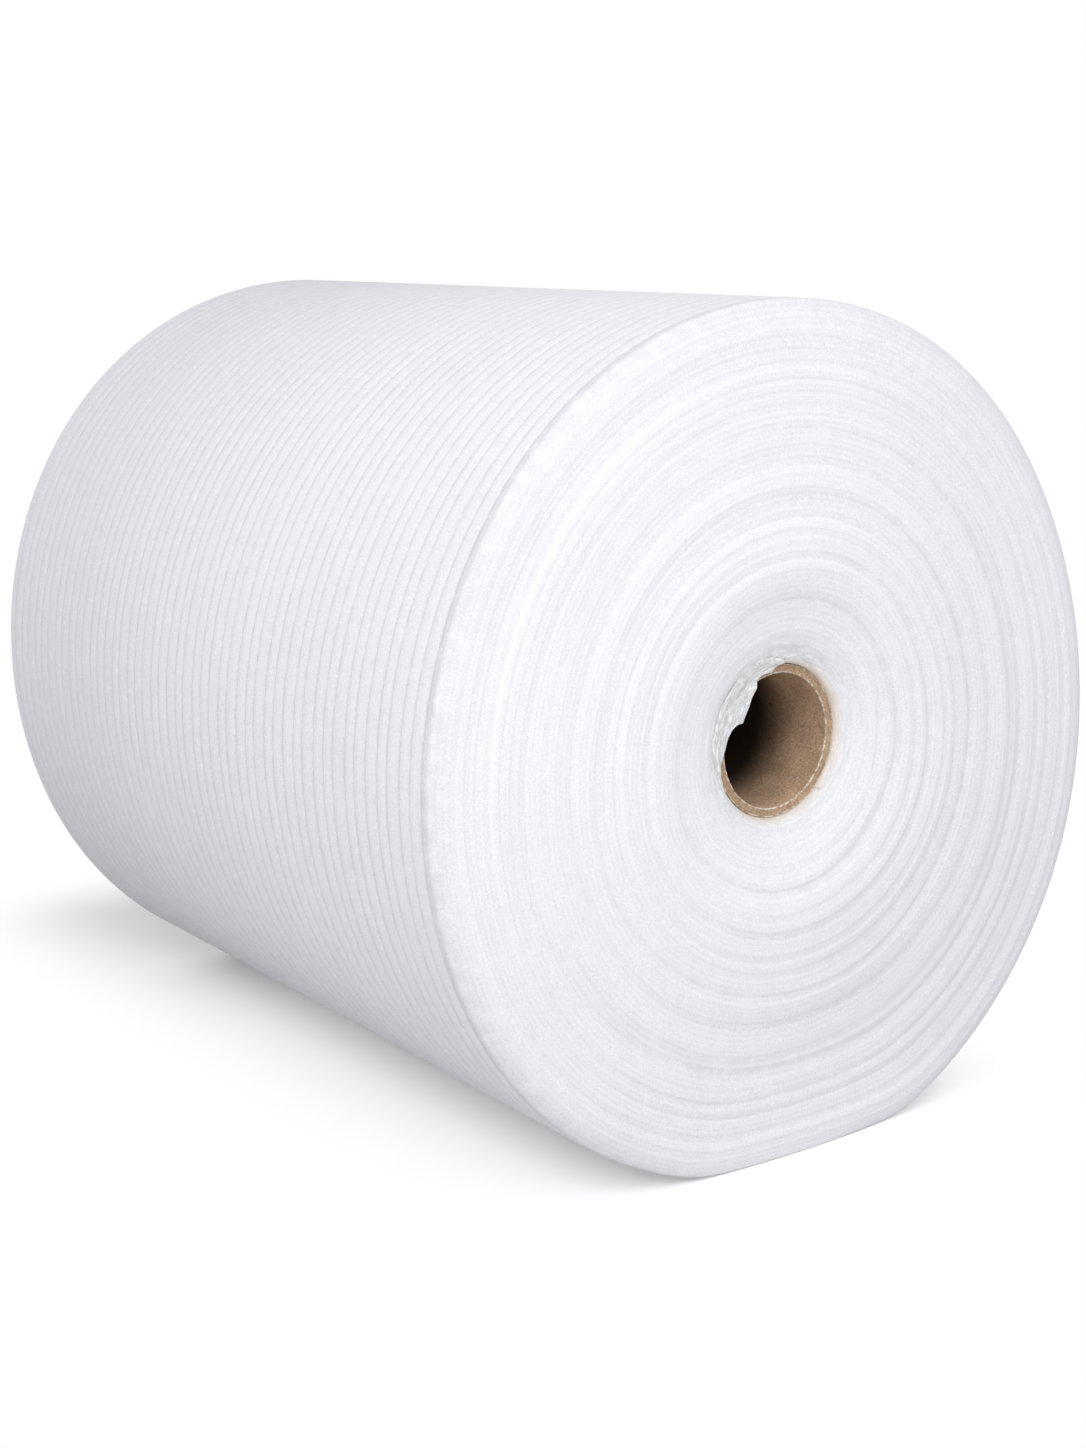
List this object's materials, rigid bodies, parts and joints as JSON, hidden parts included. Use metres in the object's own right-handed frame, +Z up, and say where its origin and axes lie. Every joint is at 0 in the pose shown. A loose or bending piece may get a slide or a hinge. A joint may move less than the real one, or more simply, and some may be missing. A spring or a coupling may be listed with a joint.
{
  "type": "foam wrap roll",
  "caption": "Large roll of thin white ribbed foam wrap wound on a kraft tube, lying on its side with telescoped end faces and a torn flap of foam over one mouth of the tube.",
  "frame": {"origin": "on the floor under the middle of the roll, in the flat spot that it lies on", "axes": "+X along the roll towards the end with the torn flap, +Y to the back where the web's outer end lies, +Z up"},
  "size_m": [0.4996, 0.4838, 0.4779],
  "materials": {
    "foam": "matte",
    "kraft": "matte"
  },
  "bodies": {
    "root": {"foam_roll": "foam", "core_tube": "kraft"}
  },
  "joints": []
}
